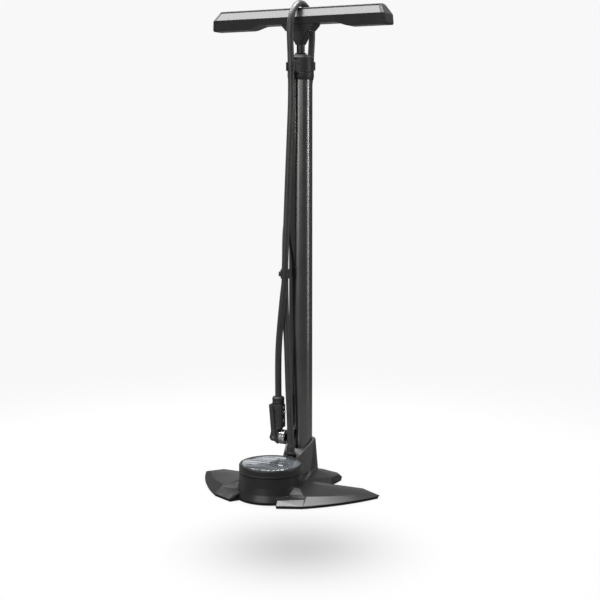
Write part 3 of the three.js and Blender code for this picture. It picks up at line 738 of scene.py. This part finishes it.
def hose_clip(hose_y, low):
    """A hose clip: an open ring with thickened lips, on a faceted web that stands on the cap."""
    out = 1 if hose_y > 0 else -1
    high = low + CLIP_HEIGHT
    inner, outer, mouth = HOSE_RADIUS + 0.3, 6.9, math.radians(40)

    def arc(radius):
        angles = [mouth + step / 40 * 2 * (math.pi - mouth) for step in range(41)]
        return [(radius * math.sin(a), hose_y + out * radius * math.cos(a)) for a in angles]

    jaw = prism(arc(outer) + arc(inner)[::-1], low, high)
    seat, far = CAP_RADIUS + 0.1, abs(hose_y) - inner - 0.6
    web = hull(both_sides([
        (9.4, out * (seat - 5), low - 6), (9.4, out * (seat - 5), high + 5),
        (6.5, out * (seat + 0.6), low - 1), (6.5, out * (seat + 0.6), high + 4),
        (3.8, out * far, low + 1), (3.8, out * far, high + 2),
    ]))
    below, above = 570, 640
    ways = [
        rod(seat, (0, 0, below), (0, 0, above), 120),
        rod(inner, (0, hose_y, below), (0, hose_y, above), 60),
    ]
    pins = [
        rod(1.1, (x, out * (seat - 3), high - 1), (x * 1.1, out * (seat + 9), high - 1), 24)
        for x in (-6.6, 6.6)
    ]
    return cut(join(jaw, web), *ways, *pins)


for place, hose_y in (("front", FRONT_HOSE_Y), ("rear", REAR_HOSE_Y)):
    piece(
        f"clip_{place}", hose_clip(hose_y, CLIP_LOW[place]), moulding, "pump_body",
        (f"hose_clip_{place}",), bevel=0.35, limit=18,
    )


# -------- handle
FLANK_TOP = 669  # below the widest place of the section
SOLE_HALF = 10.8  # half of the depth of the grip's underside
WAIST_HALF, WAIST_RUN = 57, 24  # the shallow waist's reach, and how far it takes to deepen
END_LEAN, LEAN_START = 0.0148, 656  # the curve of the handle's ends, and the height where it starts
SECTION = fillet([
    (0, HANDLE_TOP + 0.2, 0), (4.5, HANDLE_TOP, 2.5), (8.4, HANDLE_TOP - 0.7, 0.8),
    (9.1, HANDLE_TOP - 3.1, 0.8), (16, 669.9, 0.7), (15.4, 667.8, 1.0), (12.4, 656.2, 1.4),
    (SOLE_HALF, GRIP_BOTTOM, 1.2), (0, GRIP_BOTTOM - 0.1, 0),
], 0.8, 5)


def grip_bottom(x):
    """The height of the handle's underside, which is higher near the hub."""
    share = min(1, max(0, (abs(x) - WAIST_HALF) / WAIST_RUN))
    return WAIST_BOTTOM + (GRIP_BOTTOM - WAIST_BOTTOM) * share * share * (3 - 2 * share)


def end_x(z):
    """How far the handle reaches at a height: its ends lean inwards in a shallow curve."""
    return HANDLE_HALF - END_LEAN * max(0, z - LEAN_START) ** 2


def joint_x(z):
    """Where the handle's end pieces start."""
    return end_x(z) - END_LENGTH


def loft(stations):
    """A closed mesh through rings of the handle's section. Each station is one ring's points."""
    count = len(stations[0])
    points = [p for ring in stations for p in ring]
    faces = []
    for ring in range(len(stations) - 1):
        for i in range(count):
            j = (i + 1) % count
            faces.append((ring * count + i, ring * count + j, (ring + 1) * count + j, (ring + 1) * count + i))
    for first in (0, (len(stations) - 1) * count):
        last = first + count - 1
        for i in range(count // 2 - 1):
            faces.append((first + i, first + i + 1, last - 1 - i, last - i))
    return solid(points, faces, merge=2e-5)


def section_ring(x_of, low):
    """The handle's section at one station: front from top to bottom, then back from bottom to top."""
    front = []
    for y, z in SECTION:
        if z < low:
            y, z = width_at(low) * (y / SOLE_HALF if z < GRIP_BOTTOM + 0.05 else 1), low
        front.append((y, z))
    return [(x_of(z), y, z) for y, z in front] + [(x_of(z), -y, z) for y, z in reversed(front)]


def width_at(height):
    """Half of the section's depth at a height on its lower flank."""
    for (y1, z1), (y2, z2) in zip(SECTION, SECTION[1:]):
        if FLANK_TOP > z1 >= height >= z2:
            return y1 + (y2 - y1) * (z1 - height) / max(z1 - z2, 1e-6)
    raise ValueError(f"the handle has no flank at {height}")


def handle_bar():
    """The handle between its end pieces."""
    run = [-WAIST_HALF - WAIST_RUN + 2 * i for i in range(WAIST_RUN // 2 + 1)]
    left = [-121, -104, -90, *run, -52, -30, -10]
    stations = [section_ring(lambda z: -joint_x(z), GRIP_BOTTOM)]
    for x in left + [-x for x in reversed(left)]:
        stations.append(section_ring(lambda z, x=x: x, grip_bottom(x)))
    stations.append(section_ring(joint_x, GRIP_BOTTOM))
    return loft(stations)


def handle_cap(side):
    """An end piece of the handle, with a rounded rim."""
    rounding, seam = 1.4, 0.35
    half_depth, half_height = 14, 16
    middle = (HANDLE_TOP + GRIP_BOTTOM) / 2
    stations = []
    for step in range(13):
        share = step / 12
        angle = max(0, (share - 0.6) / 0.4) * math.pi / 2
        shrink = rounding * (1 - math.cos(angle))
        reach = share / 0.6 if share < 0.6 else 1
        forward = rounding * math.sin(angle)

        def x_of(z, reach=reach, forward=forward):
            last = end_x(z) - rounding
            return side * (joint_x(z) + seam + (last - joint_x(z) - seam) * reach + forward)

        stations.append([
            (x, y * (1 - shrink / half_depth), middle + (z - middle) * (1 - shrink / half_height))
            for x, y, z in section_ring(x_of, GRIP_BOTTOM - 1)
        ])
    return loft(stations)


piece("handle_grip", handle_bar(), handle_satin, "handle", ("handle_bar",))
for place, side in (("right", 1), ("left", -1)):
    piece(f"grip_end_{place}", handle_cap(side), handle_end, "handle", (f"handle_end_{place}",))


def hub_mesh():
    """The hub under the handle: a saddle on a funnel that narrows to the rod."""
    top = WAIST_BOTTOM - 0.2
    saddle = hull(both_sides([
        (25.5, -11.4, top), (25.5, 11.4, top), (24.8, -11, 658), (24.8, 11, 658),
        (19, -9.6, 651), (19, 9.6, 651),
    ]))
    throat = [(x, y, 632) for x, y in ring_points(7.3, 0, 0, 32)]
    neck = [(x, y, 637) for x, y in ring_points(7.8, 0, 0, 32)]
    funnel = hull(both_sides([(15.5, -9.6, 654), (15.5, 9.6, 654)]) + neck + throat)
    holes = [rod(4.1, (x, 0, 640), (x, 0, 654.2)) for x in (-15, 15)]
    return cut(join(saddle, funnel), rod(6.1, (0, 0, 620), (0, 0, 650)), *holes)


piece("hub", hub_mesh(), moulding, "handle", ("handle_hub",), bevel=0.6, limit=14)
piece(
    "rod", lathe([(4.6, 34.2), (5.85, 34.2), (5.85, 649), (4.6, 649)], 64, 0.3), rod_metal,
    "handle", ("piston_rod",),
)

# -------- gauge
DIAL_TOP = 31.9
OUTER_MARKS, INNER_MARKS, LIMIT_MARKS = 80, 55, 12
LIMIT_SHARE = 0.75  # of the scale, where the red arc starts
piece(
    "bezel", lathe([
        (40.4, POD_TOP + 0.3, 0), (44.4, POD_TOP + 0.3, 0.3), (44.4, POD_TOP + 0.9, 0.2),
        (GAUGE_RADIUS, POD_TOP + 1.5, 0.3), (GAUGE_RADIUS, 38.6, 0.1), (44.8, 38.9, 0.1), (44.8, 39.5, 0.1),
        (GAUGE_RADIUS, 39.8, 0.1), (GAUGE_RADIUS, 45.4, 1.2), (43.8, BEZEL_TOP - 0.8, 0.8),
        (42.4, BEZEL_TOP - 0.6, 0.3), (41.8, 46.6, 0.2), (40.4, 46.2, 0),
    ], 128, 0.3, ON_POD),
    bezel_plastic, "pump_body", ("gauge_bezel",),
)
piece(
    "lens", lathe([
        (0, 47.3), (20, 46.2, 8), (36, 43.8, 1), (39.9, 43.8, 0.2), (39.9, 46.6, 0.1), (41.6, 46.8, 0.2),
        (40.6, 47.6, 0.4), (30, 49, 6), (16, 49.8, 8), (0, 50),
    ], 128, 0.3, ON_POD),
    glass, "pump_body", ("gauge_lens",),
)
piece(
    "dial", lathe([(1.9, 31), (38.5, 31), (38.5, DIAL_TOP), (1.9, DIAL_TOP)], 96, 0.1, ON_POD),
    dial_face, "pump_body", ("gauge_dial",),
)


def dial_angle(share):
    """The dial's angle at a share of its scale, clockwise from the lower left, seen from above."""
    return math.radians(225 - 270 * share)


def on_dial(radius, angle):
    return radius * math.cos(angle), GAUGE_Y + radius * math.sin(angle)


def tick(angle, inner, outer, width):
    """The outline of a straight mark that points at the middle of the dial."""
    ahead, beside = Vector((math.cos(angle), math.sin(angle))), Vector((-math.sin(angle), math.cos(angle)))
    places = ((inner, -width), (outer, -width), (outer, width), (inner, width))
    corners = [ahead * radius + beside * aside for radius, aside in places]
    return [(c.x, c.y + GAUGE_Y) for c in corners]


def number(build, value, angle, radius, size):
    """A numeral that stands on the dial, upright for someone in front of the pump."""
    text = bpy.data.curves.new("numeral", "FONT")
    text.body, text.size = str(value), size * MM
    text.align_x, text.align_y = "CENTER", "CENTER"
    text.extrude = 0.03 * MM
    holder = link("numeral", text)
    bpy.context.view_layer.update()
    graph = bpy.context.evaluated_depsgraph_get()
    mesh = bpy.data.meshes.new_from_object(holder.evaluated_get(graph), depsgraph=graph)
    mesh.transform(Matrix.Translation(at(*on_dial(radius, angle), DIAL_TOP + 0.05)))
    build.from_mesh(mesh)
    bpy.data.objects.remove(holder)


def flat_marks(outlines):
    """Thin plates on the dial, one per outline."""
    build = bmesh.new()
    for outline in outlines:
        build.from_mesh(prism(outline, DIAL_TOP + 0.02, DIAL_TOP + 0.09))
    return build


marks = []
for i in range(OUTER_MARKS + 1):
    inner, width = (34.6, 0.16) if i % 10 else (33, 0.42)
    marks.append(tick(dial_angle(i / OUTER_MARKS), inner, 37, width))
for i in range(INNER_MARKS + 1):
    marks.append(tick(dial_angle(i / INNER_MARKS), 21.6, 23.2 if i % 5 else 24.6, 0.14))
marks_build = flat_marks(marks)
for i in range(9):
    number(marks_build, 20 * i, dial_angle(i / 8), 28.9, 5.4)
for i in range(12):
    number(marks_build, i, dial_angle(i / 11), 18.6, 3.2)
piece("dial_marks", mesh_of(marks_build), dial_print, "pump_body")
arc_marks = []
for i in range(LIMIT_MARKS):
    a, b = (dial_angle(LIMIT_SHARE + (1 - LIMIT_SHARE) * step / LIMIT_MARKS) for step in (i, i + 1))
    arc_marks.append([on_dial(*place) for place in ((37.3, a), (38, a), (38, b), (37.3, b))])
piece("dial_limit", mesh_of(flat_marks(arc_marks)), dial_red, "pump_body")


def needle_mesh():
    """The pointer and its hub, at the start of the scale."""
    turn = ON_POD @ Matrix.Rotation(math.radians(135), 4, "Z")
    outline = ((1.6, -9), (1.1, 0), (0.25, 30), (-0.25, 30), (-1.1, 0), (-1.6, -9))
    pointer = hull([(x, y, z) for x, y in outline for z in (34.2, 34.9)], turn)
    hub = lathe([(0, 25), (1, 25), (1, 33.6), (4, 33.6), (4, 35.4), (3, 36.2), (0, 36.2)], 48, 0.2, turn)
    return join(hub, pointer)


piece("pointer", needle_mesh(), dial_red, "needle", ("gauge_needle",), bevel=0.12)

# -------- hose fittings
AT_PORT = Matrix.Translation((0, PORT_Y, 0))
piece(
    "ferrule", lathe([
        (4.85, 46.3), (6.9, 46.3, 0.3), (6.9, 49.2, 0.5), (6.2, 50, 0.3), (6.1, 53.4, 0.2), (5.8, 53.9, 0.2),
        (6, 54.5, 0.2), (5.6, 58.2, 0.6), (4.85, 58.4, 0.1),
    ], 64, 0.2, AT_PORT),
    moulding, "pump_body", ("hose_ferrule",),
)


def mid_clip():
    """The clip that holds the hose's two runs together, with a lug in front."""
    riser, drop = (-12.4, -24.7), (-7.65, -34.2)
    low, high = 301.2, 313.7
    circles = ring_points(6.3, *riser, 48) + ring_points(6.3, *drop, 48)
    rings = [(x, y, z) for x, y in circles for z in (low, high)]
    lug = hull([
        (-15.6, -38.6, 304.6), (-15.6, -38.6, 310.2), (-9.5, -38.6, 303.4), (-9.5, -38.6, 310.2),
        (-16.2, -34, 304.6), (-16.2, -34, 311.4), (-8.5, -33, 303.4), (-8.5, -33, 311.4),
    ])
    ways = [rod(HOSE_RADIUS + 0.25, (x, y, low - 5), (x, y, high + 5)) for x, y in (riser, drop)]
    waist = [rod(1.5, (-16.8, -31.2, low - 1), (-16.8, -31.2, high + 1), 32)]
    return cut(join(hull(rings), lug), *ways, *waist)


mid_tie = piece(
    "mid_tie", mid_clip(), moulding, "pump_body", ("hose_mid_clip",), bevel=0.45, limit=18,
)

# -------- pump head
BODY_DEPTH = 8.3
BLEED_HEIGHT = 35.5
SCREW_HEIGHTS = (43.1, 23.1)
LEVER_LEAN = 0.0864  # how steeply the lever's back leans out as it rises


def drill(radius, start, end, height=0, sides=48):
    """A round bar along X, that high above the nozzle's axis."""
    return rod(radius, CHUCK + Vector((start, 0, height)), CHUCK + Vector((end, 0, height)), sides)


def pin_hole():
    """The hole for the lever's pin."""
    return rod(1.75, CHUCK + Vector((LEVER_PIVOT, -12, 0)), CHUCK + Vector((LEVER_PIVOT, 12, 0)), 32)


def head_body():
    """The head's body: a column with a rounded front, on a heel round the lever's pin."""
    corners = []
    for x, z in ((8.4, 14), (8.2, 46), (6.6, 48.2), (-5.2, 48.2), (-6.6, 45), (-3.8, 9), (3.6, 11)):
        aside, back = (2.4, 2.8) if x > 0 else (0, 0)
        corners += [
            (x, -BODY_DEPTH + aside, z), (x, BODY_DEPTH - aside, z),
            (x - back, -BODY_DEPTH, z), (x - back, BODY_DEPTH, z),
        ]
    column = hull(corners, HEAD)
    heel = slab(ring_points(5, LEVER_PIVOT, 0, 48), -BODY_DEPTH, BODY_DEPTH)
    head = slab([(-4.6, -4.9), (2.8, -9.6), (2.8, 11.5), (-3.6, 11)], -BODY_DEPTH, BODY_DEPTH)
    flange = drill(10.2, 2.6, 3.9, sides=72)
    guard = lathe(
        [(3.5, -0.4), (4.7, -0.4), (4.7, 1.1, 0.3), (3.5, 1.1, 0.3)], 48, 0.1, on_x(8.3, BLEED_HEIGHT),
    )
    hollows = [drill(5.6, -1.6, 5), drill(2.9, 3, 12, BLEED_HEIGHT, 40), pin_hole()]
    hollows += [drill(2.1, 8.1, 12, height, 32) for height in SCREW_HEIGHTS]
    mouth = ((-1.8, 18), (4.8, 19), (4.4, 41), (-3.6, 41))
    bed = ((-1, 19), (4, 20), (3.6, 40), (-2.8, 40))
    for s in (-1, 1):
        recess = [(x, s * (BODY_DEPTH + 0.5), z) for x, z in mouth]
        recess += [(x, s * (BODY_DEPTH - 0.5), z) for x, z in bed]
        hollows.append(hull(recess, HEAD))
    return cut(join(column, heel, head, flange, guard), *hollows)


def head_lever():
    """The locking lever: a ridged channel against the body's back, with a cam round the pivot."""
    inner, outer = BODY_DEPTH + 0.35, 10.7
    web = slab([(-6.6, 9), (-4.8, 9), (-7.5, 46.8), (-8.4, 48.2), (-9.9, 47.2)], -outer, outer)
    cheek = [(-9.8, 47.2), (-8.4, 48.2), (-4.6, 46), (-2.4, 36), (-1, 14), (1.2, 2), (-8.4, 1), (-6.6, 9)]
    cam = ring_points(5.4, LEVER_PIVOT, 0, 48)
    parts = [web]
    for front, back in ((-outer, -inner), (inner, outer)):
        parts += [slab(cheek, front, back), slab(cam, front, back)]
    for height in (44, 40.4, 36.8, 33.2):
        face = -6.6 - LEVER_LEAN * (height - 9)
        ridge = [(face + 0.5, height), (face - 0.5, height - 1.2), (face + 0.5, height - 2.4)]
        parts.append(slab(ridge, -8.5, 8.5))
    return cut(join(*parts), pin_hole())


head = piece(
    "head_body", head_body(), chuck_plastic, "pump_body", ("chuck_body",),
    bevel=0.5, limit=18,
)
lever = piece(
    "head_lever", head_lever(), chuck_plastic, "lever", ("chuck_lever",),
    bevel=0.35, limit=18,
)
collar = piece(
    "head_collar", lathe([
        (5, 48.5), (8.2, 48.5, 0.3), (8.8, 49.5, 0.4), (8.8, 51.6, 0.2), (8.4, 52, 0.1), (8.4, 52.8, 0.1),
        (8.8, 53.2, 0.2), (8.8, 56.7, 0.6), (7.2, 58.7, 0.6), (5, 58.7, 0.3),
    ], 72, 0.2, HEAD),
    moulding, "pump_body", ("chuck_collar",),
)
ring = piece(
    "nozzle_rim", lathe([
        (7.6, 0), (9.8, 0), (10.6, 0.8, 0.4), (10.6, 2.6, 0.2), (9.9, 3.2, 0.2), (9.9, 3.8, 0.2),
        (10.6, 4.4, 0.3), (10.6, 8.2, 0.9), (9.4, 9.6, 0.7), (5.6, 9.6, 0.3), (5.4, 8.9, 0.1), (7.6, 8.9, 0),
    ], 96, 0.2, on_x(NOZZLE_START)),
    polished, "pump_body", ("nozzle_ring",),
)
gland = piece(
    "gland", lathe([(4.1, 0.3), (7.3, 0.3), (7.3, 8.6, 0.3), (4.1, 8.6, 0.8)], 64, 0.2, on_x(NOZZLE_START)),
    seal_rubber, "pump_body", ("nozzle_gland",),
)
button = piece(
    "button", lathe([
        (0, 0), (2.6, 0), (2.6, 6.2, 0.5), (1.4, 6.2, 0.3), (1.2, 5.9, 0.2), (0, 5.9),
    ], 48, 0.2, on_x(4.4, BLEED_HEIGHT)),
    polished, "bleed", ("bleed_button",),
)
for i, height in enumerate(SCREW_HEIGHTS):
    piece(
        f"head_screw_{i + 1}", lathe([
            (0, 0), (0.9, 0), (0.9, 4), (1.8, 4), (1.8, 4.7, 0.2), (1.2, 5.5, 0.5), (0.55, 5.6, 0.1),
            (0.5, 5, 0.1), (0, 5),
        ], 40, 0.1, on_x(4.2, height)),
        polished, "pump_body", (f"chuck_screw_{i + 1}",),
    )

# -------- pieces kept from the frame
KEPT = {
    plain_steel: [
        "foot_screw_nose", "foot_screw_right", "foot_screw_left", "foot_screw_rear",
        "handle_bolt_1", "handle_bolt_2", "rod_nut", "dial_screw_1", "dial_screw_2", "lever_pin",
    ],
    brass: ["check_valve_poppet", "gauge_movement", "bourdon_tube"],
    rod_metal: ["hose_port_fitting"],
    seal_rubber: ["barrel_foot_ring", "piston_buffer", "rod_wiper", "piston_seal"],
    moulding: [
        "barrel_foot", "rod_bushing", "rod_collar", "piston_head", "gauge_cup", "lens_spacer",
        "chuck_plunger",
    ],
}
for finish, names in KEPT.items():
    for name in names:
        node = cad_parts[name]
        node.data.materials.clear()
        node.data.materials.append(finish)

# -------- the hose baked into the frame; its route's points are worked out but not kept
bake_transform(hose)
[tuple(at(*p)) for p in hose_route]


# -------- studio
BACKDROP_COLOUR = (0.939, 0.939, 0.939, 1)
ROOM_COLOUR = (0.14, 0.14, 0.143, 1)
PAINTED_SHADOW_PLACE = (136.8, -273.4, 0)  # the middle of the shadow painted on the floor in front of the base
PAINTED_SHADOW_REACH = 0.075  # the painted shadow's spread; it and the two below are in metres
FLOOR_RADIUS = 1.05
FLOOR_FADE = 0.32  # how far from the middle the floor starts to fade out


def soft_box(name, size, place, target, radiance):
    """A rectangular light of that size in metres; places are in millimetres."""
    data = bpy.data.lights.new(name, "AREA")
    data.shape = "RECTANGLE"
    data.size, data.size_y = size
    data.energy = radiance * math.pi * size[0] * size[1]
    made = link(name, data)
    made.location = at(*place)
    made.rotation_euler = (at(*target) - at(*place)).to_track_quat("-Z", "Y").to_euler()
    made.visible_camera = False


soft_box("overhead", (2.3, 1.2), (-700, -200, 2100), (-700, -199, 0), 7.4)
soft_box("right_strip", (0.16, 0.55), (1500, 420, 730), (0, 0, 560), 9)
soft_box("overhead_rear", (1.3, 1.05), (160, 430, 2105), (160, 431, 0), 12)
soft_box("left_high", (0.45, 0.45), (-1400, 330, 1850), (0, 0, 150), 12)
soft_box("right_low", (0.16, 0.55), (1500, 420, 250), (0, 0, 330), 4)
soft_box("front_high", (1.4, 0.8), (1000, -1950, 960), (0, 0, 560), 0.8)
soft_box("front_fill", (1.6, 1.6), (-300, -2300, 1100), (0, 0, 300), 2.5)
soft_box("back_panel", (1.2, 0.6), (-1260, 2640, 760), (0, -90, 48), 0.8)

world = bpy.data.worlds.new("studio")
bpy.context.scene.world = world
world.use_nodes = True
sky = Graph(world.node_tree)
backdrop = sky.tree.nodes["Background"]
backdrop.inputs["Color"].default_value = BACKDROP_COLOUR
room = sky.node("Background", {"Color": ROOM_COLOUR})
seen = sky.node("LightPath").outputs["Is Camera Ray"]
chosen = sky.layer(seen, room.outputs[0], backdrop.outputs[0])
sky.tree.links.new(chosen, sky.tree.nodes["World Output"].inputs["Surface"])


def floor_finish():
    """A pale floor that fades into the backdrop: mostly its own even tone, with a soft shadow painted into
    its glow in front.
    """
    material, graph = empty_material("floor")
    place = graph.node("TexCoord").outputs["Object"]
    away = graph.node("VectorMath", {0: place, 1: at(*PAINTED_SHADOW_PLACE)}, operation="DISTANCE").outputs["Value"]
    # Painted shadow: the glow the camera sees is darkened down to 0.54 in a soft round patch in front of the
    # base, and nothing casts it
    painted_falloff = graph.calculate("MULTIPLY", graph.calculate("POWER", away, 2), -0.5 / PAINTED_SHADOW_REACH ** 2)
    painted_shadow_tone = graph.mix(graph.calculate("EXPONENT", painted_falloff), (1, 1, 1, 1), (0.54, 0.54, 0.54, 1))
    seen = graph.node("LightPath").outputs["Is Camera Ray"]
    glow = graph.node("Emission", {"Color": painted_shadow_tone, "Strength": graph.between(seen, 0, 1, 0.12, 0.83)})
    plain = graph.node("BsdfDiffuse", {"Color": (0.085, 0.085, 0.085, 1)})
    lit = graph.node("AddShader", {0: glow.outputs[0], 1: plain.outputs[0]}).outputs[0]
    radius = graph.node("VectorMath", {0: place}, operation="LENGTH").outputs["Value"]
    edge = graph.between(radius, FLOOR_FADE, 1.0, 0, 1, interpolation_type="SMOOTHSTEP")
    clear = graph.node("BsdfTransparent").outputs[0]
    graph.node("OutputMaterial", {"Surface": graph.layer(edge, lit, clear)})
    return material


floor_build = bmesh.new()
bmesh.ops.create_circle(floor_build, cap_ends=True, segments=96, radius=FLOOR_RADIUS)
floor = link("floor", mesh_of(floor_build))
floor.location = (0, 0, -0.3 * MM)
floor.data.materials.append(floor_finish())
